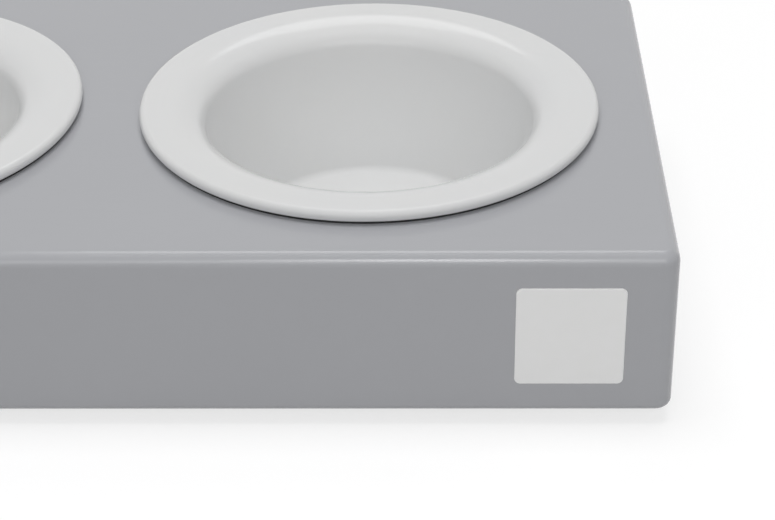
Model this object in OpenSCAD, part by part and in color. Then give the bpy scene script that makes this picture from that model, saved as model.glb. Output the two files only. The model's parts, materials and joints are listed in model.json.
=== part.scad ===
// Double pet bowl: two glazed bowls hang by their brims in the round holes of a low painted stand.
// The origin is at the middle of the footprint, on the floor. X runs along the stand, the front faces -Y
// and Z points up. All sizes are in millimetres.

/* [Stand] */
// Length of the stand
stand_l = 380; // [350:1:440]
// Depth of the stand, from front to back
stand_w = 198; // [192:1:240]
// Height of the painted box, without its feet
stand_h = 59; // [56:1:80]
// Thickness of the top board
board_t = 16; // [12:0.5:20]
// Thickness of the rails and of the cross rail
rail_t = 16; // [13:0.5:20]
// Corner radius, seen from above
corner_r = 5.5; // [5:0.5:12]
// Radius of the roundover along the top edge
top_edge_r = 4.2; // [2:0.1:4.8]
// Radius of the roundover along the lower edge
low_edge_r = 3; // [1:0.1:4]
// Height of the cross rail between the bowls
cross_h = 30; // [24:1:36]
// Side of the square corner blocks
block_w = 28; // [24:1:34]
// Chamfer on the inner edge of the corner blocks
block_chamfer = 7; // [3:0.5:8]

/* [Bowls] */
// Gap between a bowl's lip and the end of the stand
end_gap = 19.5; // [14:0.5:26]
// Gap between the lips of the two bowls
bowl_gap = 21; // [16:0.5:40]
// Thickness of the ceramic, at the brim, the wall and the base
ceramic_t = 3.8; // [3:0.1:5]
// How much thicker the rolled lip is than the ceramic
lip_swell = 0.3; // [0.2:0.1:3]
// Gap between the lip and the board
lip_gap = 0.8; // [0.4:0.1:2]
// Width of the flat brim, from the lip's edge to the start of the shoulder
brim_w = 8.5; // [8:0.5:14]
// Radius of the shoulder, where the brim bends down
shoulder_r = 20; // [14:0.5:26]
// Slope at which the shoulder's curve tightens, in degrees
shoulder_turn = 32; // [24:1:45]
// Radius of the tighter turn, from the shoulder into the wall
turn_r = 8; // [6.5:0.1:14]
// Lean of the wall from the vertical, in degrees
wall_lean = 12.5; // [6:0.1:16]
// Depth of the bowl inside, from the brim to the floor
bowl_depth = 54.5; // [46:0.5:58]
// Radius of the fillet between the wall and the floor
floor_r = 4.5; // [3:0.5:14]
// How far the middle of the unglazed foot ring lies inside the turn of the base
foot_ring_inset = 6; // [5:0.5:16]
// Width of the foot ring
foot_ring_w = 4; // [3:0.1:5]
// Height of the foot ring below the base
foot_ring_h = 2; // [1.5:0.1:3]

/* [Seating rings] */
// Gap between the roll of the lip and the rubber ring
seat_inset = 0.5; // [0.3:0.1:1.5]
// How far the ring's thin lap on the board ends inside the lip's edge
lap_inset = 1.5; // [1.2:0.1:4]
// Gap between the hole's edge and the ring's inner edge
seat_gap = 1.3; // [0.4:0.1:2]
// Gap between the bowl's neck and the hole in the board
hole_gap = 1.2; // [0.6:0.1:3]

/* [Feet] */
// Height of the rubber feet
foot_h = 5; // [4.6:0.1:10]
// Diameter of a foot at the stand
foot_d = 22; // [18:0.5:24]
// Diameter of a foot at the floor
foot_floor_d = 19; // [16:0.5:22]
// Rubber left between the screw's recess and the stand
foot_shelf_t = 1.6; // [1:0.1:2]
// Diameter of the recess for the screw's head
foot_recess_d = 11; // [10:0.5:13]
// Outer diameter of the washers
washer_d = 9; // [8:0.5:10]
// Thickness of the washers
washer_t = 0.8; // [0.5:0.1:1]

/* [Screws and dowels] */
// Diameter of the screws' shanks
screw_d = 3.8; // [3:0.1:4.2]
// Diameter of the screws' heads
screw_head_d = 7.6; // [6.5:0.1:8]
// Height of the foot screws' pan heads
pan_h = 2; // [1.5:0.1:2.1]
// Length of the foot screws, under the head
foot_screw_l = 18; // [12:1:20]
// Length of the countersunk screws that hold the corner blocks
block_screw_l = 38; // [32:1:40]
// Diameter of the wooden dowels
dowel_d = 8; // [6:0.5:9]
// Length of the wooden dowels
dowel_l = 30; // [24:1:32]
// Depth to which a dowel enters the board or the rail's side
dowel_in = 10; // [7:0.5:11]

/* [Hidden] */
$fn = 96;

// Clearances and the overrun of every cut
dowel_fit = 0.05;      // radial, between a dowel and its bore
dowel_room = 1;        // free length at the bottom of a dowel's bore
screw_fit = 0.05;      // radial, between a screw and its bore
screw_room = 1;        // free length past a screw's point
washer_fit = 0.3;      // radial, between a screw's shank and its washer or foot
overrun = 1;           // how far a cut runs past the face that it opens
dowel_bevel = 0.8;     // chamfer at a dowel's ends
foot_edge = 0.8;       // chamfer around the foot's lower edge
point_l = 5;           // length of a screw's point
drive_w = 1;           // width of the slots of a cross recess
drive_d = 1.2;         // depth of a cross recess
drive_l = 4.4;         // length of the slots of a cross recess
arc_steps = 14;        // straight steps in each arc of the bowl's section

// Places and sizes as shares of the piece that carries them
long_dowel_shares = [-0.34, -0.13, 0.13, 0.34];    // of the stand's length
short_dowel_shares = [-0.2, 0.2];                  // of the stand's depth
cross_dowel_shares = [0.27, 0.73];                 // of the cross rail's height
point_share = 0.2;                                 // a screw point's radius, of its shank's
side_screw_share = 0.54;                           // of the rail's height, screws along X
front_screw_share = 0.76;                          // of the rail's height, screws along Y
lap_share = 0.6;                                   // of the gap under the lip, the lap's thickness

// Levels
board_top = foot_h + stand_h;
board_low = board_top - board_t;
rail_h = stand_h - board_t;

// Inner faces of the rails
inner_x = stand_l / 2 - rail_t;
inner_y = stand_w / 2 - rail_t;
block_x = inner_x - block_w / 2;
block_y = inner_y - block_w / 2;

// The two bowls share the stand's length with the gaps at its ends and between their lips
rim_r = (stand_l - 2 * end_gap - bowl_gap) / 4;
bowl_pitch = 2 * rim_r + bowl_gap;

// The bowl's section, as radius and height above the board. The shoulder bends about shoulder_c and then
// about turn_c, and the base's corner about floor_c, so that the ceramic keeps one thickness all along.
lip_t = ceramic_t + lip_swell;
brim_top = lip_gap + lip_t;
lip_c = [rim_r - lip_t / 2, brim_top - lip_t / 2];
lip_turn = asin(2 * ceramic_t / lip_t - 1);
wall_out = [cos(wall_lean), -sin(wall_lean)];
shoulder_c = [rim_r - brim_w, brim_top - shoulder_r];
turn_c = shoulder_c + (shoulder_r - turn_r) * [-sin(shoulder_turn), cos(shoulder_turn)];
wall_start = turn_c - turn_r * wall_out;
floor_z = brim_top - bowl_depth;
floor_cz = floor_z + floor_r;
floor_cr = wall_start[0] + ((floor_cz - wall_start[1]) * sin(wall_lean) - floor_r) / cos(wall_lean);
floor_c = [floor_cr, floor_cz];
foot_ring_r = floor_cr - foot_ring_inset;

// The ring fills the height between board and brim, its lap reaches out under the lip, and the hole
// clears the neck at the board's top
seat_t = brim_top - ceramic_t;
lap_t = lap_share * lip_gap;
lap_r = rim_r - lap_inset;
seat_out_r = rim_r - lip_t - seat_inset;
under_r = shoulder_r - ceramic_t;
neck_slope = acos(1 - seat_t / under_r);
neck_r = neck_slope < shoulder_turn ? shoulder_c[0] - under_r * sin(neck_slope)
    : turn_c[0] - sqrt(pow(turn_r - ceramic_t, 2) - pow(turn_c[1], 2));
hole_r = neck_r + hole_gap;
seat_in_r = hole_r + seat_gap;
seat_in_t = shoulder_c[1] + sqrt(pow(under_r, 2) - pow(shoulder_c[0] - seat_in_r, 2));

// Foot levels
recess_h = foot_h - foot_shelf_t;
pan_top = recess_h - washer_t;

// What a square's corner keeps outside its quarter circle
module corner_waste(r) {
    difference() {
        square(r + overrun);
        circle(r);
    }
}

// Half of the box's section, w from the middle to the face, with both edges rounded
module box_half(w) {
    difference() {
        square([w, stand_h]);
        translate([w - top_edge_r, stand_h - top_edge_r]) corner_waste(top_edge_r);
        translate([w - low_edge_r, low_edge_r]) mirror([0, 1]) corner_waste(low_edge_r);
    }
}

module box_section(w) {
    box_half(w / 2);
    mirror([1, 0]) box_half(w / 2);
}

// The painted box as one solid: two crossed bars and four turned corners
module box_form() {
    straight_x = stand_l - 2 * corner_r;
    straight_y = stand_w - 2 * corner_r;
    translate([0, 0, foot_h]) {
        rotate([90, 0, 90]) linear_extrude(straight_x, center = true) box_section(stand_w);
        rotate([90, 0, 0]) linear_extrude(straight_y, center = true) box_section(stand_l);
        for (sx = [0, 1], sy = [0, 1])
            mirror([sx, 0, 0]) mirror([0, sy, 0]) translate([straight_x / 2, straight_y / 2, 0])
                rotate_extrude(angle = 90) box_half(corner_r);
    }
}

// A straight dowel with bevelled ends, standing on the origin
module dowel() {
    r = dowel_d / 2 - dowel_fit;
    cylinder(h = dowel_bevel, r1 = r - dowel_bevel, r2 = r);
    translate([0, 0, dowel_bevel]) cylinder(h = dowel_l - 2 * dowel_bevel, r = r);
    translate([0, 0, dowel_l - dowel_bevel]) cylinder(h = dowel_bevel, r1 = r, r2 = r - dowel_bevel);
}

module dowel_bore() {
    translate([0, 0, -dowel_room]) cylinder(h = dowel_l + 2 * dowel_room, d = dowel_d);
}

// Puts its children at every dowel between the rails and the board
module at_rail_dowels() {
    z = board_low + dowel_in - dowel_l;
    for (s = long_dowel_shares, y = [-1, 1])
        translate([s * stand_l, y * (stand_w - rail_t) / 2, z]) children();
    for (s = short_dowel_shares, x = [-1, 1])
        translate([x * (stand_l - rail_t) / 2, s * stand_w, z]) children();
}

// Puts its children at every dowel between the cross rail and the long rails, pointing outwards
module at_cross_dowels() {
    for (s = cross_dowel_shares, side = [0, 1])
        rotate(180 * side) translate([0, -inner_y - dowel_in, board_low - cross_h + s * cross_h])
            rotate([-90, 0, 0]) children();
}

// Puts its children at the four corners, turned so that the corner blocks' outer sides face +X and +Y
module at_corners() {
    for (sx = [0, 1], sy = [0, 1]) mirror([sx, 0, 0]) mirror([0, sy, 0]) children();
}

// A cross recess, cut downwards from the origin
module drive_recess() {
    for (a = [0, 90])
        rotate(a) translate([-drive_l / 2, -drive_w / 2, -drive_d])
            cube([drive_l, drive_w, drive_d + overrun]);
}

// A wood screw's shank and point, running down from the origin
module shank(l, r) {
    translate([0, 0, point_l - l]) cylinder(h = l - point_l, r = r);
    translate([0, 0, -l]) cylinder(h = point_l, r1 = point_share * r, r2 = r);
}

// A countersunk screw with its head's face at the origin, running down
module countersunk_screw() {
    r = screw_d / 2 - screw_fit;
    head_r = screw_head_d / 2 - screw_fit;
    difference() {
        union() {
            shank(block_screw_l, r);
            translate([0, 0, r - head_r]) cylinder(h = head_r - r, r1 = r, r2 = head_r);
        }
        drive_recess();
    }
}

module countersunk_bore() {
    r = screw_d / 2;
    head_r = screw_head_d / 2;
    translate([0, 0, -block_screw_l - screw_room]) cylinder(h = block_screw_l + screw_room, r = r);
    translate([0, 0, r - head_r]) cylinder(h = head_r - r, r1 = r, r2 = head_r);
    cylinder(h = overrun, r = head_r);
}

// Puts its children at one corner's two block screws, running from the block into the rails
module at_block_screws() {
    translate([inner_x - block_w, block_y, foot_h + side_screw_share * rail_h])
        rotate([0, -90, 0]) children();
    translate([block_x, inner_y - block_w, foot_h + front_screw_share * rail_h])
        rotate([90, 0, 0]) children();
}

// A pan head screw with the underside of its head at the origin, running up
module pan_screw() {
    head_r = screw_head_d / 2;
    edge_r = pan_h / 2;
    difference() {
        union() {
            mirror([0, 0, 1]) shank(foot_screw_l, screw_d / 2 - screw_fit);
            rotate_extrude() {
                translate([0, -pan_h]) square([head_r - edge_r, pan_h]);
                translate([0, -edge_r]) square([head_r, edge_r]);
                translate([head_r - edge_r, -edge_r]) circle(edge_r);
            }
        }
        translate([0, 0, -pan_h]) mirror([0, 0, 1]) drive_recess();
    }
}

module top_board() {
    color("#afb0b4") difference() {
        intersection() {
            box_form();
            translate([-stand_l, -stand_w, board_low]) cube([2 * stand_l, 2 * stand_w, 2 * board_t]);
        }
        for (s = [-1, 1])
            translate([s * bowl_pitch / 2, 0, board_low - overrun])
                cylinder(h = board_t + 2 * overrun, r = hole_r);
        at_rail_dowels() dowel_bore();
    }
}

// The front rail lies along X below the board, mitred at both ends
module long_rail() {
    difference() {
        intersection() {
            box_form();
            translate([0, 0, foot_h]) linear_extrude(rail_h) polygon([
                [-stand_l / 2, -stand_w / 2], [stand_l / 2, -stand_w / 2],
                [inner_x, -inner_y], [-inner_x, -inner_y]
            ]);
        }
        at_rail_dowels() dowel_bore();
        at_cross_dowels() dowel_bore();
        at_corners() at_block_screws() countersunk_bore();
    }
}

// The right rail lies along Y below the board, mitred at both ends
module short_rail() {
    difference() {
        intersection() {
            box_form();
            translate([0, 0, foot_h]) linear_extrude(rail_h) polygon([
                [stand_l / 2, -stand_w / 2], [stand_l / 2, stand_w / 2],
                [inner_x, inner_y], [inner_x, -inner_y]
            ]);
        }
        at_rail_dowels() dowel_bore();
        at_corners() at_block_screws() countersunk_bore();
    }
}

module front_rail() { color("#9a9b9e") long_rail(); }
module back_rail() { color("#9a9b9e") mirror([0, 1, 0]) long_rail(); }
module right_rail() { color("#a4a5a8") short_rail(); }
module left_rail() { color("#a4a5a8") mirror([1, 0, 0]) short_rail(); }

module cross_rail() {
    color("#a4a5a8") difference() {
        translate([-rail_t / 2, -inner_y, board_low - cross_h]) cube([rail_t, 2 * inner_y, cross_h]);
        at_cross_dowels() dowel_bore();
    }
}

// A glue block behind the back right corner, where it meets both rails and the board
module corner_block() {
    color("#c9a878") difference() {
        translate([inner_x, inner_y, foot_h]) linear_extrude(rail_h) polygon([
            [0, 0], [-block_w, 0], [-block_w, -block_w + block_chamfer],
            [-block_w + block_chamfer, -block_w], [0, -block_w]
        ]);
        at_block_screws() countersunk_bore();
        translate([block_x, block_y, foot_h - overrun])
            cylinder(h = foot_screw_l + overrun, d = screw_d);
    }
}

module front_left_block() { mirror([1, 0, 0]) mirror([0, 1, 0]) corner_block(); }
module front_right_block() { mirror([0, 1, 0]) corner_block(); }
module back_left_block() { mirror([1, 0, 0]) corner_block(); }
module back_right_block() { corner_block(); }

module rail_dowels() { color("#d8bd8c") at_rail_dowels() dowel(); }
module cross_rail_dowels() { color("#d8bd8c") at_cross_dowels() dowel(); }
module block_screws() { color("#c8ccd0") at_corners() at_block_screws() countersunk_screw(); }

// A rubber foot under the back right corner block, with a recess for washer and screw
module corner_foot() {
    bore_r = screw_d / 2 + washer_fit;
    color("#2b2b2d") translate([block_x, block_y, 0]) rotate_extrude() polygon([
        [foot_recess_d / 2, 0], [foot_floor_d / 2 - foot_edge, 0], [foot_floor_d / 2, foot_edge],
        [foot_d / 2, foot_h], [bore_r, foot_h], [bore_r, recess_h], [foot_recess_d / 2, recess_h]
    ]);
}

module front_left_foot() { mirror([1, 0, 0]) mirror([0, 1, 0]) corner_foot(); }
module front_right_foot() { mirror([0, 1, 0]) corner_foot(); }
module back_left_foot() { mirror([1, 0, 0]) corner_foot(); }
module back_right_foot() { corner_foot(); }

module foot_screws() {
    color("#c8ccd0") at_corners() translate([block_x, block_y, pan_top]) pan_screw();
}

module foot_washers() {
    color("#b9bdc2") at_corners() translate([block_x, block_y, pan_top]) difference() {
        cylinder(h = washer_t, d = washer_d);
        translate([0, 0, -overrun]) cylinder(h = washer_t + 2 * overrun, d = screw_d + 2 * washer_fit);
    }
}

// Points along an arc about c, from angle a to angle b, or without its first point where arcs join
function arc(c, r, a, b, steps = arc_steps, first = 0) = [
    for (i = [first:steps])
        let (t = a + (b - a) * i / steps)
            c + r * [cos(t), sin(t)]
];

// Half of the bowl's section: base with foot ring, outer wall, brim, lip, shoulder, inner wall and floor
module bowl_section() {
    base_z = floor_z - ceramic_t;
    ring_r = foot_ring_w / 2;
    polygon(concat(
        [[0, base_z], [foot_ring_r - ring_r, base_z]],
        arc([foot_ring_r, base_z - foot_ring_h + ring_r], ring_r, 180, 360),
        [[foot_ring_r + ring_r, base_z]],
        arc(floor_c, floor_r + ceramic_t, -90, -wall_lean),
        arc(turn_c, turn_r - ceramic_t, 180 - wall_lean, 90 + shoulder_turn),
        arc(shoulder_c, shoulder_r - ceramic_t, 90 + shoulder_turn, 90, arc_steps / 2, 1),
        arc(lip_c, lip_t / 2, lip_turn - 180, 90, 2 * arc_steps),
        arc(shoulder_c, shoulder_r, 90, 90 + shoulder_turn, arc_steps / 2),
        arc(turn_c, turn_r, 90 + shoulder_turn, 180 - wall_lean, arc_steps, 1),
        arc(floor_c, floor_r, -wall_lean, -90),
        [[0, floor_z]]
    ));
}

module bowl() {
    color("#f4f4f5") translate([bowl_pitch / 2, 0, board_top]) rotate_extrude() bowl_section();
}

module left_bowl() { mirror([1, 0, 0]) bowl(); }
module right_bowl() { bowl(); }

// A flat rubber ring that lies under the brim, around the hole
module seating_ring() {
    color("#1d1d1f") translate([bowl_pitch / 2, 0, board_top]) rotate_extrude() polygon([
        [seat_in_r, 0], [lap_r, 0], [lap_r, lap_t], [seat_out_r, lap_t],
        [seat_out_r, seat_t], [shoulder_c[0], seat_t], [seat_in_r, seat_in_t]
    ]);
}

module left_seating_ring() { mirror([1, 0, 0]) seating_ring(); }
module right_seating_ring() { seating_ring(); }

top_board();
front_rail();
back_rail();
left_rail();
right_rail();
cross_rail();
front_left_block();
front_right_block();
back_left_block();
back_right_block();
rail_dowels();
cross_rail_dowels();
block_screws();
front_left_foot();
front_right_foot();
back_left_foot();
back_right_foot();
foot_screws();
foot_washers();
left_bowl();
right_bowl();
left_seating_ring();
right_seating_ring();
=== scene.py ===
# Double pet bowl: two glazed bowls hang by their brims in a low painted stand.
# Metres, Z up, the front faces -Y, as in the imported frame.
import json
import math

import bmesh
import bpy
from mathutils import Matrix, Vector


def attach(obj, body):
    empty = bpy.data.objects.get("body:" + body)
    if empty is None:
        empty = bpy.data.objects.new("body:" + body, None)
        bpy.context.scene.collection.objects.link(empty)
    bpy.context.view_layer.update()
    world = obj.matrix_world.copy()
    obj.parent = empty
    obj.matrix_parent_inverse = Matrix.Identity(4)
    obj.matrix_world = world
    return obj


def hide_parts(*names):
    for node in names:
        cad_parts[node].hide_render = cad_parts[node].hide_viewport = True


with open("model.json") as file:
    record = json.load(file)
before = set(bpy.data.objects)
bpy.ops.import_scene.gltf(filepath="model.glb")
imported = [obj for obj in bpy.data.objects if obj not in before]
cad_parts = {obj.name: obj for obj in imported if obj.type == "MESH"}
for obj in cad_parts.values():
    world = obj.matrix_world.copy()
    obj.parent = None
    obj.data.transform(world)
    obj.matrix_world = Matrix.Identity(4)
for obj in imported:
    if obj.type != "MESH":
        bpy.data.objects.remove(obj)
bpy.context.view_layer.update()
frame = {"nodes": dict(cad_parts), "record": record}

mm = 0.001
scene = bpy.context.scene


def addNode(tree, kind, settings=None, inputs=None):
    node = tree.nodes.new(kind)
    for name, value in (settings or {}).items():
        setattr(node, name, value)
    for name, value in (inputs or {}).items():
        socket = node.inputs[name]
        if isinstance(value, bpy.types.NodeSocket):
            tree.links.new(value, socket)
        else:
            socket.default_value = value
    return node


# A Mix node has its own A, B and Result sockets for each kind of value. These are the colour's.
colourA, colourB, colourResult = 6, 7, 2


def addObject(name, data):
    made = bpy.data.objects.new(name, data)
    scene.collection.objects.link(made)
    return made


def linear(hexText):
    # sRGB hex to the linear colour that the shaders take
    channels = [int(hexText[i:i + 2], 16) / 255 for i in (1, 3, 5)]
    return [c / 12.92 if c <= 0.04045 else ((c + 0.055) / 1.055) ** 2.4 for c in channels] + [1]


def newMaterial(name):
    material = bpy.data.materials.new(name)
    material.use_nodes = True
    tree = material.node_tree
    tree.nodes.clear()
    output = addNode(tree, "ShaderNodeOutputMaterial")
    shader = addNode(tree, "ShaderNodeBsdfPrincipled")
    tree.links.new(shader.outputs["BSDF"], output.inputs["Surface"])
    coords = addNode(tree, "ShaderNodeTexCoord").outputs["Object"]
    return material, tree, shader, coords


# Satin lacquer, sprayed over sanded board: even grey, soft shine, a faint orange peel, and slow
# waves from sanding by hand that break up the long highlight on the front edge
satinPaint = {
    "dark": "#ADAEB2", "light": "#B0B1B5", "toneSize": 60 * mm,
    "roughness": (0.17, 0.22), "sheenSize": 25 * mm, "ior": 1.5,
    "peelSize": 1.6 * mm, "peelHeight": 0.004 * mm,
    "waveLength": 16 * mm, "waveWidth": 5 * mm, "waveHeight": 0.05 * mm,
}


def makeSatinPaint(values):
    material, tree, shader, coords = newMaterial("satin_grey_lacquer")
    tone = addNode(tree, "ShaderNodeTexNoise", inputs={
        "Vector": coords, "Scale": 1 / values["toneSize"], "Detail": 3, "Roughness": 0.5})
    colour = addNode(tree, "ShaderNodeMix", {"data_type": "RGBA"}, {
        "Factor": tone.outputs["Fac"],
        colourA: linear(values["dark"]), colourB: linear(values["light"])})
    tree.links.new(colour.outputs[colourResult], shader.inputs["Base Color"])
    sheen = addNode(tree, "ShaderNodeTexNoise", inputs={
        "Vector": coords, "Scale": 1 / values["sheenSize"], "Detail": 2})
    smoothest, roughest = values["roughness"]
    rough = addNode(tree, "ShaderNodeMapRange", inputs={
        "Value": sheen.outputs["Fac"], "To Min": smoothest, "To Max": roughest})
    tree.links.new(rough.outputs["Result"], shader.inputs["Roughness"])
    along, across = 1 / values["waveLength"], 1 / values["waveWidth"]
    stretched = addNode(tree, "ShaderNodeMapping", inputs={
        "Vector": coords, "Scale": (along, across, across)})
    wave = addNode(tree, "ShaderNodeTexNoise", inputs={
        "Vector": stretched.outputs["Vector"], "Scale": 1, "Detail": 2, "Roughness": 0.45})
    waveBump = addNode(tree, "ShaderNodeBump", inputs={
        "Height": wave.outputs["Fac"], "Distance": values["waveHeight"], "Strength": 1})
    peel = addNode(tree, "ShaderNodeTexNoise", inputs={
        "Vector": coords, "Scale": 1 / values["peelSize"], "Detail": 1})
    peelBump = addNode(tree, "ShaderNodeBump", inputs={
        "Height": peel.outputs["Fac"], "Distance": values["peelHeight"], "Strength": 1,
        "Normal": waveBump.outputs["Normal"]})
    tree.links.new(peelBump.outputs["Normal"], shader.inputs["Normal"])
    shader.inputs["IOR"].default_value = values["ior"]
    return material


# White tin glaze, dipped and fired: glossy but a little soft, with slow ripples, and slightly
# cooler where it lies thick. It mirrors less than clear glass, so its IOR is under the usual 1.5.
whiteGlaze = {
    "thin": "#F0F0EF", "thick": "#EDEEEF", "poolSize": 45 * mm,
    "roughness": (0.13, 0.18), "glossSize": 30 * mm, "ior": 1.38,
    "rippleSize": 14 * mm, "rippleHeight": 0.03 * mm,
    "pinSize": 1.1 * mm, "pinHeight": 0.002 * mm,
}


def makeWhiteGlaze(values):
    material, tree, shader, coords = newMaterial("white_fired_glaze")
    pool = addNode(tree, "ShaderNodeTexNoise", inputs={
        "Vector": coords, "Scale": 1 / values["poolSize"], "Detail": 2})
    colour = addNode(tree, "ShaderNodeMix", {"data_type": "RGBA"}, {
        "Factor": pool.outputs["Fac"],
        colourA: linear(values["thin"]), colourB: linear(values["thick"])})
    tree.links.new(colour.outputs[colourResult], shader.inputs["Base Color"])
    gloss = addNode(tree, "ShaderNodeTexNoise", inputs={
        "Vector": coords, "Scale": 1 / values["glossSize"], "Detail": 2})
    smoothest, roughest = values["roughness"]
    rough = addNode(tree, "ShaderNodeMapRange", inputs={
        "Value": gloss.outputs["Fac"], "To Min": smoothest, "To Max": roughest})
    tree.links.new(rough.outputs["Result"], shader.inputs["Roughness"])
    ripple = addNode(tree, "ShaderNodeTexNoise", inputs={
        "Vector": coords, "Scale": 1 / values["rippleSize"], "Detail": 1})
    rippleBump = addNode(tree, "ShaderNodeBump", inputs={
        "Height": ripple.outputs["Fac"], "Distance": values["rippleHeight"], "Strength": 1})
    pin = addNode(tree, "ShaderNodeTexNoise", inputs={
        "Vector": coords, "Scale": 1 / values["pinSize"], "Detail": 0})
    pinBump = addNode(tree, "ShaderNodeBump", inputs={
        "Height": pin.outputs["Fac"], "Distance": values["pinHeight"], "Strength": 1,
        "Normal": rippleBump.outputs["Normal"]})
    tree.links.new(pinBump.outputs["Normal"], shader.inputs["Normal"])
    shader.inputs["IOR"].default_value = values["ior"]
    return material


# Unglazed fired clay on the foot rings: dry, warm and slightly sandy
bisque = {
    "name": "unglazed_bisque", "dark": "#CFC8BB", "light": "#DAD4C8", "grain": 0.7 * mm,
    "height": 0.03 * mm, "roughness": 0.85, "ior": 1.5, "metallic": 0,
}
# Moulded rubber, matt, with the mould's fine grain: black in the rings, charcoal in the feet
ringRubber = {
    "name": "black_moulded_rubber", "dark": "#161617", "light": "#1D1D1E", "grain": 0.5 * mm,
    "height": 0.01 * mm, "roughness": 0.62, "ior": 1.52, "metallic": 0,
}
footRubber = {
    "name": "charcoal_foot_rubber", "dark": "#262627", "light": "#303032", "grain": 0.8 * mm,
    "height": 0.02 * mm, "roughness": 0.68, "ior": 1.52, "metallic": 0,
}
# Stove enamel on the thin plate: white, smooth and clean
plateEnamel = {
    "name": "white_stove_enamel", "dark": "#F6F6F5", "light": "#F8F8F8", "grain": 6 * mm,
    "height": 0.01 * mm, "roughness": 0.3, "ior": 1.5, "metallic": 0,
}
# Bright zinc plating: cool grey metal with a faint cloudy tint
zincPlating = {
    "name": "bright_zinc_plating", "dark": "#A9AFB5", "light": "#C3C7CB", "grain": 1.4 * mm,
    "height": 0.004 * mm, "roughness": 0.32, "ior": 1.5, "metallic": 1,
}


def makeGrained(values):
    material, tree, shader, coords = newMaterial(values["name"])
    grain = addNode(tree, "ShaderNodeTexNoise", inputs={
        "Vector": coords, "Scale": 1 / values["grain"], "Detail": 3})
    colour = addNode(tree, "ShaderNodeMix", {"data_type": "RGBA"}, {
        "Factor": grain.outputs["Fac"],
        colourA: linear(values["dark"]), colourB: linear(values["light"])})
    tree.links.new(colour.outputs[colourResult], shader.inputs["Base Color"])
    bump = addNode(tree, "ShaderNodeBump", inputs={
        "Height": grain.outputs["Fac"], "Distance": values["height"], "Strength": 1})
    tree.links.new(bump.outputs["Normal"], shader.inputs["Normal"])
    shader.inputs["Roughness"].default_value = values["roughness"]
    shader.inputs["IOR"].default_value = values["ior"]
    shader.inputs["Metallic"].default_value = values["metallic"]
    return material


# Planed softwood and turned beech: growth lines along the grain, darker late wood, dry surface
pineBlock = {
    "name": "planed_pine", "early": "#D2B07C", "late": "#A87C48", "ringWidth": 3.2 * mm,
    "grainLength": 60 * mm, "grainWidth": 1.5 * mm, "fibreShare": 0.4, "height": 0.04 * mm,
    "roughness": 0.7,
}
beechDowel = {
    "name": "turned_beech", "early": "#D9BB8B", "late": "#B98F5C", "ringWidth": 1.6 * mm,
    "grainLength": 30 * mm, "grainWidth": 0.6 * mm, "fibreShare": 0.4, "height": 0.03 * mm,
    "roughness": 0.65,
}
waveRepeat = 0.3  # metres from ring to ring in a wave texture of scale 1


def makeWood(values):
    material, tree, shader, coords = newMaterial(values["name"])
    fine, long = 1 / values["grainWidth"], 1 / values["grainLength"]
    stretched = addNode(tree, "ShaderNodeMapping", inputs={
        "Vector": coords, "Scale": (fine, fine, long)})
    fibre = addNode(tree, "ShaderNodeTexNoise", inputs={
        "Vector": stretched.outputs["Vector"], "Scale": 1, "Detail": 3})
    rings = addNode(tree, "ShaderNodeTexWave", {"wave_type": "RINGS", "rings_direction": "Z"}, {
        "Vector": coords, "Scale": waveRepeat / values["ringWidth"], "Distortion": 2.5,
        "Detail": 2, "Detail Scale": 1.2})
    mixed = addNode(tree, "ShaderNodeMix", {"data_type": "FLOAT"}, {
        "Factor": values["fibreShare"], "A": rings.outputs["Fac"], "B": fibre.outputs["Fac"]})
    colour = addNode(tree, "ShaderNodeMix", {"data_type": "RGBA"}, {
        "Factor": mixed.outputs["Result"],
        colourA: linear(values["early"]), colourB: linear(values["late"])})
    tree.links.new(colour.outputs[colourResult], shader.inputs["Base Color"])
    bump = addNode(tree, "ShaderNodeBump", inputs={
        "Height": fibre.outputs["Fac"], "Distance": values["height"], "Strength": 1})
    tree.links.new(bump.outputs["Normal"], shader.inputs["Normal"])
    shader.inputs["Roughness"].default_value = values["roughness"]
    return material


paint = makeSatinPaint(satinPaint)
glaze = makeWhiteGlaze(whiteGlaze)
bareClay = makeGrained(bisque)
blackRubber = makeGrained(ringRubber)
charcoalRubber = makeGrained(footRubber)
enamel = makeGrained(plateEnamel)
zinc = makeGrained(zincPlating)
pine = makeWood(pineBlock)
beech = makeWood(beechDowel)
print("materials made:", len(bpy.data.materials))

# The solids of the frame keep their shape and take the finish of their slot
slotFinish = {
    "grey_paint": paint, "bare_wood": pine, "dowel_wood": beech, "zinc_steel": zinc,
    "foot_rubber": charcoalRubber, "white_glaze": glaze, "ring_rubber": blackRubber,
}
for part in frame["record"]["subparts"]:
    solid = frame["nodes"][part["node"]]
    solid.data.materials.clear()
    solid.data.materials.append(slotFinish[part["material_slot"]])


# Painted boards: each is its node's own shape with its loose triangles joined, so that the paint
# runs smoothly over the rounded edges and stays crisp at the sharp ones. Angles in degrees.
boardSizes = {"joinWithin": 0.005 * mm, "flatWithin": 0.05, "sharpFrom": 40}
paintedBoards = bpy.data.collections.new("painted_boards")


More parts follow.
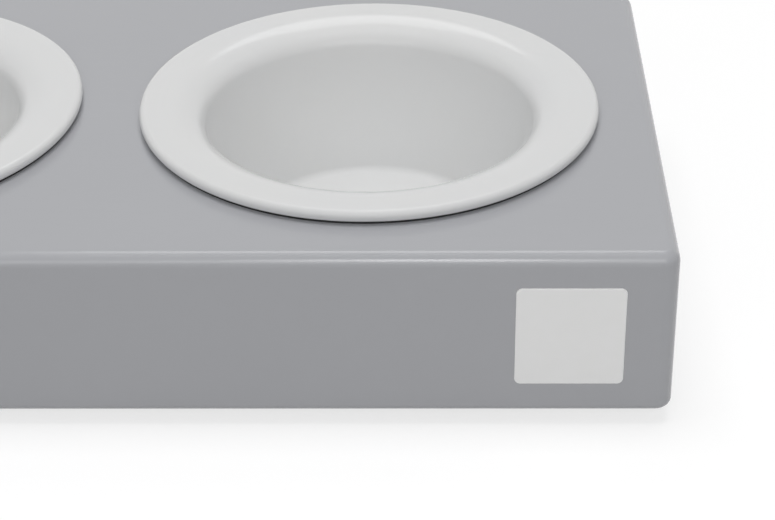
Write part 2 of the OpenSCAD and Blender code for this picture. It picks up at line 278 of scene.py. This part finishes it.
def paintBoard(node, b):
    boardMesh = bmesh.new()
    boardMesh.from_mesh(frame["nodes"][node].data)
    bmesh.ops.remove_doubles(boardMesh, verts=boardMesh.verts, dist=b["joinWithin"])
    bmesh.ops.dissolve_limit(boardMesh, angle_limit=math.radians(b["flatWithin"]),
                             verts=boardMesh.verts, edges=boardMesh.edges)
    for face in boardMesh.faces:
        face.smooth = True
    sharp = math.radians(b["sharpFrom"])
    for edge in boardMesh.edges:
        edge.smooth = len(edge.link_faces) == 2 and edge.calc_face_angle() < sharp
    mesh = bpy.data.meshes.new("painted_" + node)
    boardMesh.to_mesh(mesh)
    boardMesh.free()
    mesh.materials.append(paint)
    board = addObject("painted_" + node, mesh)
    paintedBoards.objects.link(board)
    flatten = board.modifiers.new("even_shading", "WEIGHTED_NORMAL")
    flatten.keep_sharp = True
    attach(board, "stand")
    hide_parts(node)
    print("painted", node, len(mesh.polygons), "faces")


for node in ("top_board", "front_rail", "back_rail", "left_rail", "right_rail", "cross_rail"):
    paintBoard(node, boardSizes)


def buildRevolveTree():
    # Turns an outline, given as points in X and Z, about the Z axis and closes its seam and poles
    tree = bpy.data.node_groups.new("revolve_outline", "GeometryNodeTree")
    sockets = tree.interface
    sockets.new_socket("Outline", in_out="INPUT", socket_type="NodeSocketGeometry")
    for name, kind in (("Steps", "NodeSocketInt"), ("Centre", "NodeSocketVector"),
                       ("Weld", "NodeSocketFloat"), ("Bare Below", "NodeSocketFloat"),
                       ("Finish", "NodeSocketMaterial"), ("Bare Finish", "NodeSocketMaterial")):
        sockets.new_socket(name, in_out="INPUT", socket_type=kind)
    sockets.new_socket("Turned", in_out="OUTPUT", socket_type="NodeSocketGeometry")
    given = addNode(tree, "NodeGroupInput").outputs
    count = addNode(tree, "GeometryNodeAttributeDomainSize", {"component": "MESH"}, {
        "Geometry": given["Outline"]}).outputs["Point Count"]
    # A flat grid, one column for each step round and one row for each point of the outline
    columns = addNode(tree, "ShaderNodeMath", {"operation": "ADD"}, {0: given["Steps"], 1: 1})
    grid = addNode(tree, "GeometryNodeMeshGrid", inputs={
        "Size X": 1, "Size Y": 1, "Vertices X": columns.outputs[0], "Vertices Y": count})
    halfGrid = 0.5  # the grid is 1 by 1 about its middle
    place = addNode(tree, "ShaderNodeSeparateXYZ", inputs={
        0: addNode(tree, "GeometryNodeInputPosition").outputs[0]})
    turn = addNode(tree, "ShaderNodeMath", {"operation": "ADD"}, {
        0: place.outputs["X"], 1: halfGrid})
    angle = addNode(tree, "ShaderNodeMath", {"operation": "MULTIPLY"}, {
        0: turn.outputs[0], 1: math.tau})
    last = addNode(tree, "ShaderNodeMath", {"operation": "SUBTRACT"}, {0: count, 1: 1})
    share = addNode(tree, "ShaderNodeMath", {"operation": "ADD"}, {
        0: place.outputs["Y"], 1: halfGrid})
    row = addNode(tree, "ShaderNodeMath", {"operation": "MULTIPLY"}, {
        0: share.outputs[0], 1: last.outputs[0]})
    whole = addNode(tree, "ShaderNodeMath", {"operation": "ROUND"}, {0: row.outputs[0]})
    # Each point of the grid goes to its row's outline point, turned by its column's angle
    point = addNode(
        tree, "GeometryNodeSampleIndex", {"data_type": "FLOAT_VECTOR", "domain": "POINT"}, {
            "Geometry": given["Outline"], "Index": whole.outputs[0],
            "Value": addNode(tree, "GeometryNodeInputPosition").outputs[0]})
    outline = addNode(tree, "ShaderNodeSeparateXYZ", inputs={0: point.outputs["Value"]})
    cosine = addNode(tree, "ShaderNodeMath", {"operation": "COSINE"}, {0: angle.outputs[0]})
    sine = addNode(tree, "ShaderNodeMath", {"operation": "SINE"}, {0: angle.outputs[0]})
    x = addNode(tree, "ShaderNodeMath", {"operation": "MULTIPLY"}, {
        0: outline.outputs["X"], 1: cosine.outputs[0]})
    y = addNode(tree, "ShaderNodeMath", {"operation": "MULTIPLY"}, {
        0: outline.outputs["X"], 1: sine.outputs[0]})
    turned = addNode(tree, "ShaderNodeCombineXYZ", inputs={
        "X": x.outputs[0], "Y": y.outputs[0], "Z": outline.outputs["Z"]})
    moved = addNode(tree, "ShaderNodeVectorMath", {"operation": "ADD"}, {
        0: turned.outputs[0], 1: given["Centre"]})
    shaped = addNode(tree, "GeometryNodeSetPosition", inputs={
        "Geometry": grid.outputs["Mesh"], "Position": moved.outputs[0]})
    closed = addNode(tree, "GeometryNodeMergeByDistance", inputs={
        "Geometry": shaped.outputs[0], "Distance": given["Weld"]})
    smooth = addNode(tree, "GeometryNodeSetShadeSmooth", inputs={0: closed.outputs[0]})
    real = addNode(tree, "GeometryNodeRealizeInstances", inputs={0: smooth.outputs[0]})
    dressed = addNode(tree, "GeometryNodeSetMaterial", inputs={
        "Geometry": real.outputs[0], "Material": given["Finish"]})
    height = addNode(tree, "ShaderNodeSeparateXYZ", inputs={
        0: addNode(tree, "GeometryNodeInputPosition").outputs[0]})
    low = addNode(tree, "ShaderNodeMath", {"operation": "LESS_THAN"}, {
        0: height.outputs["Z"], 1: given["Bare Below"]})
    bare = addNode(tree, "GeometryNodeSetMaterial", inputs={
        "Geometry": dressed.outputs[0], "Selection": low.outputs[0],
        "Material": given["Bare Finish"]})
    addNode(tree, "NodeGroupOutput", inputs={0: bare.outputs[0]})
    return tree


revolveTree = buildRevolveTree()
seamWeld = 0.002 * mm  # points closer than this join, at the seam and at the poles


def revolve(name, outline, centre, steps, finish, bareFinish=None, bareBelow=-1.0):
    # Outline points are (radius, height) in millimetres, from the axis or round a closed ring.
    # Centre and bareBelow are in metres, and bareBelow's default lies under every piece.
    mesh = bpy.data.meshes.new(name)
    mesh.from_pydata([(r * mm, 0, z * mm) for r, z in outline], [], [])
    source = addObject(name + "_outline", mesh)
    modifier = source.modifiers.new("revolve", "NODES")
    modifier.node_group = revolveTree
    sockets = {item.name: item.identifier for item in revolveTree.interface.items_tree
               if item.item_type == "SOCKET" and item.in_out == "INPUT"}
    modifier[sockets["Steps"]] = steps
    modifier[sockets["Centre"]] = centre
    modifier[sockets["Weld"]] = seamWeld
    modifier[sockets["Bare Below"]] = bareBelow
    modifier[sockets["Finish"]] = finish
    modifier[sockets["Bare Finish"]] = bareFinish or finish
    evaluated = source.evaluated_get(bpy.context.evaluated_depsgraph_get())
    turned = bpy.data.meshes.new_from_object(evaluated)
    bpy.data.objects.remove(source)
    shell = bmesh.new()
    shell.from_mesh(turned)
    bmesh.ops.recalc_face_normals(shell, faces=shell.faces)
    shell.to_mesh(turned)
    shell.free()
    turned.name = name
    return addObject(name, turned)


def arc(centre, radius, start, end, steps=16):
    # Points on an arc, angles in degrees
    turns = [math.radians(start + (end - start) * i / steps) for i in range(steps + 1)]
    return [(centre[0] + radius * math.cos(t), centre[1] + radius * math.sin(t)) for t in turns]


def between(start, end, parts):
    # The points that cut a straight line into equal parts, without its ends
    return [tuple(a + (c - a) * i / parts for a, c in zip(start, end)) for i in range(1, parts)]


# Both bowls: one thickness of clay from the foot ring over the wall and the flat brim to the
# round lip. Inside, the glazed floor lies half a millimetre lower and meets the wall in a tighter
# turn. Sizes in millimetres, heights from the top of the board, angles in degrees.
bowlSizes = {
    "boardTop": 64, "centreX": 90.5, "rim": 80, "clay": 3.8, "lip": 4.1, "brimTop": 4.9,
    "brimWidth": 8.5, "shoulder": 20, "bend": 32, "neckTurn": 8, "lean": 12.5, "depth": 54.5,
    "floorTurn": 4.5, "footInset": 6, "footWidth": 4, "footHeight": 2, "bareHeight": 0.9,
    "innerDepth": 55, "innerTurn": 3, "wallParts": 12, "floorParts": 8, "steps": 256,
}


def bowlOutline(b):
    lean = math.radians(b["lean"])
    shoulder = (b["rim"] - b["brimWidth"], b["brimTop"] - b["shoulder"])
    bend, inward = math.radians(b["bend"]), b["shoulder"] - b["neckTurn"]
    neck = (shoulder[0] - inward * math.sin(bend), shoulder[1] + inward * math.cos(bend))
    start = (neck[0] - b["neckTurn"] * math.cos(lean), neck[1] + b["neckTurn"] * math.sin(lean))
    floorZ = b["brimTop"] - b["depth"]
    turnZ = floorZ + b["floorTurn"]
    turnR = start[0] + ((turnZ - start[1]) * math.sin(lean) - b["floorTurn"]) / math.cos(lean)
    base = floorZ - b["clay"]
    footR, half, lip = turnR - b["footInset"], b["footWidth"] / 2, b["lip"] / 2
    lipStart = math.degrees(math.asin(b["clay"] / lip - 1)) - 180
    lowerTurn = arc((turnR, turnZ), b["floorTurn"] + b["clay"], -90, -b["lean"])
    bendEnd, wallStart = 90 + b["bend"], 180 - b["lean"]
    upperTurn = (arc(neck, b["neckTurn"] - b["clay"], wallStart, bendEnd, steps=8)
                 + arc(shoulder, b["shoulder"] - b["clay"], bendEnd, 90, steps=10)[1:])
    innerWallTop = (arc(shoulder, b["shoulder"], 90, bendEnd)
                    + arc(neck, b["neckTurn"], bendEnd, wallStart)[1:])
    innerZ = b["brimTop"] - b["innerDepth"]
    cornerZ = innerZ + b["innerTurn"]
    cornerR = start[0] + ((cornerZ - start[1]) * math.sin(lean) - b["innerTurn"]) / math.cos(lean)
    innerTurn = arc((cornerR, cornerZ), b["innerTurn"], -b["lean"], -90)
    outerWall = between(lowerTurn[-1], upperTurn[0], b["wallParts"])
    innerWall = between(innerWallTop[-1], innerTurn[0], b["wallParts"])
    floorParts = b["floorParts"]
    innerFloor = [(cornerR * i / floorParts, innerZ) for i in reversed(range(floorParts))]
    footZ = base - b["footHeight"]
    return ([(0, base), (footR - half, base)]
            + arc((footR, footZ + half), half, 180, 360, steps=12)
            + [(footR + half, base)] + lowerTurn + outerWall + upperTurn
            + arc((b["rim"] - lip, b["brimTop"] - lip), lip, lipStart, 90, steps=30)
            + innerWallTop + innerWall + innerTurn + innerFloor), footZ


outline, footZ = bowlOutline(bowlSizes)
boardTop, centreX = bowlSizes["boardTop"], bowlSizes["centreX"]
bareBelow = (boardTop + footZ + bowlSizes["bareHeight"]) * mm
for side, body in ((-1, "left_bowl"), (1, "right_bowl")):
    bowl = revolve("glazed_" + body, outline, (side * centreX * mm, 0, boardTop * mm),
                   bowlSizes["steps"], glaze, bareClay, bareBelow)
    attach(bowl, body)
    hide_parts(body)
print("bowls turned")

# A rubber ring lies under each brim, inside the roll of the lip. Its thin black lap reaches out
# on the board to just inside the lip and darkens the line round the bowl there. Radii and heights
# above the ground in millimetres, the inner edge's turn in degrees.
ringSizes = {
    "inner": 68.15, "innerHigh": 64.72, "seat": 71.5, "outer": 75.4, "low": 64, "high": 65.1,
    "edge": 0.25, "lap": 78.5, "lapHigh": 64.48, "innerTurnFrom": 102, "steps": 128,
}


def ringOutline(r):
    e, half = r["edge"], (r["lapHigh"] - r["low"]) / 2
    return (arc((r["lap"] - half, r["low"] + half), half, -90, 90, steps=6)
            + arc((r["outer"] + e, r["lapHigh"] + e), e, 270, 180, steps=4)
            + arc((r["outer"] - e, r["high"] - e), e, 0, 90, steps=4) + [(r["seat"], r["high"])]
            + arc((r["inner"] + e, r["innerHigh"] - e), e, r["innerTurnFrom"], 180, steps=4)
            + arc((r["inner"] + e, r["low"] + e), e, 180, 270, steps=4)
            + [(r["lap"] - half, r["low"])])


for side, body in ((-1, "left_bowl"), (1, "right_bowl")):
    node = body.replace("bowl", "seating_ring")
    ring = revolve("moulded_" + node, ringOutline(ringSizes), (side * centreX * mm, 0, 0),
                   ringSizes["steps"], blackRubber)
    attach(ring, body)
    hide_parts(node)
print("seating rings moulded")

# Screwed rubber feet: tapered, with a rounded tread that carries grip grooves, and a recess for
# the screw. Radii and heights above the ground in millimetres, the mould's draft in degrees.
footSizes = {
    "placeX": 160, "placeY": 69, "top": 5, "topR": 11, "treadR": 9.5, "edge": 0.8, "recessR": 5.5,
    "shelf": 1.6, "boreR": 2.2, "groove": 0.45, "grooves": (6.7, 7.6), "bevel": 0.2, "draft": 10,
    "steps": 64,
}


def footOutline(f):
    grooves = []
    for r in reversed(f["grooves"]):
        grooves += arc((r, 0), f["groove"] / 2, 0, 180, steps=6)
    top, bore, recess, cut, edge = f["top"], f["boreR"], f["recessR"], f["bevel"], f["edge"]
    return ([(bore, top), (f["topR"] - cut, top), (f["topR"], top - cut)]
            + arc((f["treadR"] - edge + cut, edge), edge, f["draft"], -90, steps=8) + grooves
            + [(recess + cut, 0), (recess, cut), (recess, top - f["shelf"]),
               (bore, top - f["shelf"]), (bore, top)])


for across in ("left", "right"):
    for along in ("front", "back"):
        node = "%s_%s_foot" % (along, across)
        x = footSizes["placeX"] * (-1 if across == "left" else 1)
        y = footSizes["placeY"] * (-1 if along == "front" else 1)
        foot = revolve("grooved_" + node, footOutline(footSizes), (x * mm, y * mm, 0),
                       footSizes["steps"], charcoalRubber)
        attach(foot, "stand")
        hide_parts(node)
print("feet moulded")

# A blank plate lies on the front face near its right end, with a soft edge all round. Millimetres.
plateSizes = {
    "left": 138.5, "right": 173.5, "low": 16.5, "high": 52.5, "frontY": -99,
    "thick": 0.5, "corner": 2, "edge": 0.25,
}


def makePlate(p):
    corners = []
    for x, z, turn in ((p["right"], p["high"], 0), (p["left"], p["high"], 90),
                       (p["left"], p["low"], 180), (p["right"], p["low"], 270)):
        inward = (x - math.copysign(p["corner"], x - (p["left"] + p["right"]) / 2),
                  z - math.copysign(p["corner"], z - (p["low"] + p["high"]) / 2))
        corners += arc(inward, p["corner"], turn, turn + 90, steps=8)
    plate = bmesh.new()
    ring = [plate.verts.new((x * mm, p["frontY"] * mm, z * mm)) for x, z in corners]
    back = plate.faces.new(ring)
    front = bmesh.ops.extrude_face_region(plate, geom=[back])
    raised = [v for v in front["geom"] if isinstance(v, bmesh.types.BMVert)]
    bmesh.ops.translate(plate, vec=(0, -p["thick"] * mm, 0), verts=raised)
    rimEdges = [e for e in plate.edges if all(v in raised for v in e.verts)]
    bmesh.ops.bevel(plate, geom=rimEdges, offset=p["edge"] * mm, segments=3, affect="EDGES",
                    profile=0.5)
    bmesh.ops.recalc_face_normals(plate, faces=plate.faces)
    mesh = bpy.data.meshes.new("blank_plate")
    plate.to_mesh(mesh)
    plate.free()
    mesh.materials.append(enamel)
    return addObject("blank_plate", mesh)


plate = makePlate(plateSizes)
paintedBoards.objects.link(plate)
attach(plate, "stand")
print("plate made")

# Floor and background are white to the camera and in reflections. The floor keeps a soft shadow.
# "half" is half the floor's side in metres.
floorSizes = {"half": 8.0, "shadowShare": 0.42, "glow": 0.7, "bounce": "#E6E6E6"}
pureWhite = (1, 1, 1, 1)


def shownDirectly(tree):
    # 1 for what the camera sees, also in a reflection or through glass, and 0 for bounced light
    path = addNode(tree, "ShaderNodeLightPath").outputs
    seen = addNode(tree, "ShaderNodeMath", {"operation": "MAXIMUM"}, {
        0: path["Is Camera Ray"], 1: path["Is Glossy Ray"]})
    shown = addNode(tree, "ShaderNodeMath", {"operation": "MAXIMUM"}, {
        0: seen.outputs[0], 1: path["Is Transmission Ray"]})
    return shown.outputs[0]


def makeFloor(f):
    mesh = bpy.data.meshes.new("floor")
    h = f["half"]
    mesh.from_pydata([(-h, -h, 0), (h, -h, 0), (h, h, 0), (-h, h, 0)], [], [(0, 1, 2, 3)])
    material = bpy.data.materials.new("pale_floor")
    material.use_nodes = True
    tree = material.node_tree
    tree.nodes.clear()
    share = f["shadowShare"]
    matt = addNode(tree, "ShaderNodeBsdfDiffuse", inputs={"Color": (share, share, share, 1)})
    glow = addNode(tree, "ShaderNodeEmission", inputs={"Color": pureWhite, "Strength": f["glow"]})
    white = addNode(tree, "ShaderNodeAddShader", inputs={0: matt.outputs[0], 1: glow.outputs[0]})
    bounce = addNode(tree, "ShaderNodeBsdfDiffuse", inputs={"Color": linear(f["bounce"])})
    chosen = addNode(tree, "ShaderNodeMixShader", inputs={
        0: shownDirectly(tree), 1: bounce.outputs[0], 2: white.outputs[0]})
    addNode(tree, "ShaderNodeOutputMaterial", inputs={"Surface": chosen.outputs[0]})
    mesh.materials.append(material)
    return addObject("floor", mesh)


makeFloor(floorSizes)

# Soft studio light. The long softbox behind only shines: it draws the wide sheen on the bowls'
# shoulders and the line along the front edge. A small one over the camera draws the broken second
# line on the paint. Sheets overhead, behind and in front and the pale room light brims, bowl
# floors and front face. "shine" and "spread" say whether a lamp is seen in reflections and gives
# diffuse light, "boards" whether it reaches the painted boards and their plate alone. Metres.
worldLevel = 0.265
lampAim = (0.05, 0, 0.05)
lamps = {
    "long_softbox": {
        "at": (0.06, 1.07, 1.63), "size": (0.8, 0.95), "radiance": 2.4,
        "shine": True, "spread": False, "boards": False},
    "overhead_sheet": {
        "at": (0.05, 0.0, 1.6), "size": (1.0, 0.7), "radiance": 4.1,
        "shine": False, "spread": True, "boards": False},
    "back_sheet": {
        "at": (0.0, 0.7, 1.3), "size": (1.0, 0.5), "radiance": 1.15,
        "shine": False, "spread": True, "boards": False},
    "front_softbox": {
        "at": (0.115, -1.15, 1.05), "size": (0.22, 0.5), "radiance": 7.8,
        "shine": True, "spread": True, "boards": True},
    "front_sheet": {
        "at": (0.1, -1.5, 0.95), "size": (2.0, 0.7), "radiance": 1.3,
        "shine": True, "spread": True, "boards": False},
}


def makeLights():
    world = bpy.data.worlds.new("pale_world")
    scene.world = world
    world.use_nodes = True
    tree = world.node_tree
    tree.nodes.clear()
    fill = addNode(tree, "ShaderNodeBackground", inputs={
        "Color": pureWhite, "Strength": worldLevel})
    white = addNode(tree, "ShaderNodeBackground", inputs={"Color": pureWhite, "Strength": 1})
    chosen = addNode(tree, "ShaderNodeMixShader", inputs={
        0: shownDirectly(tree), 1: fill.outputs[0], 2: white.outputs[0]})
    addNode(tree, "ShaderNodeOutputWorld", inputs={"Surface": chosen.outputs[0]})
    for name, lamp in lamps.items():
        data = bpy.data.lights.new(name, "AREA")
        data.shape = "RECTANGLE"
        data.size, data.size_y = lamp["size"]
        data.energy = lamp["radiance"] * math.pi * data.size * data.size_y
        light = addObject(name, data)
        light.location = lamp["at"]
        aim = Vector(lampAim) - Vector(lamp["at"])
        light.rotation_euler = aim.to_track_quat("-Z", "Y").to_euler()
        light.visible_camera = False
        light.visible_glossy = lamp["shine"]
        light.visible_diffuse = lamp["spread"]
        if lamp["boards"]:
            light.light_linking.receiver_collection = paintedBoards


makeLights()

# The photograph's camera, solved from the rim ellipses and the stand's edges on a picture of
# 775 x 520. Angles in degrees, place and sensor in millimetres, clip distances in metres.
pictureCamera = {
    "focalPixels": 2192.62, "pitch": 31.357, "yaw": -1.05, "roll": -0.627,
    "at": (108.84, -682.46, 418.63), "pictureWidth": 775, "sensorWidth": 36, "clip": (0.01, 100),
}


def makeCamera(c):
    pitch, yaw, roll = (math.radians(c[k]) for k in ("pitch", "yaw", "roll"))
    ahead = Vector((math.sin(yaw) * math.cos(pitch), math.cos(yaw) * math.cos(pitch),
                    -math.sin(pitch)))
    right = Vector((math.cos(yaw), -math.sin(yaw), 0))
    up = right.cross(ahead)
    across = math.cos(roll) * right + math.sin(roll) * up
    upward = -math.sin(roll) * right + math.cos(roll) * up
    data = bpy.data.cameras.new("photo_camera")
    data.sensor_width = c["sensorWidth"]
    data.lens = c["focalPixels"] * data.sensor_width / c["pictureWidth"]
    data.clip_start, data.clip_end = c["clip"]
    camera = addObject("photo_camera", data)
    axes = Matrix((across, upward, -ahead)).transposed().to_4x4()
    axes.translation = Vector(c["at"]) * mm
    camera.matrix_world = axes
    scene.camera = camera


makeCamera(pictureCamera)
scene.view_settings.view_transform = "Standard"
print("floor, lights and camera set")
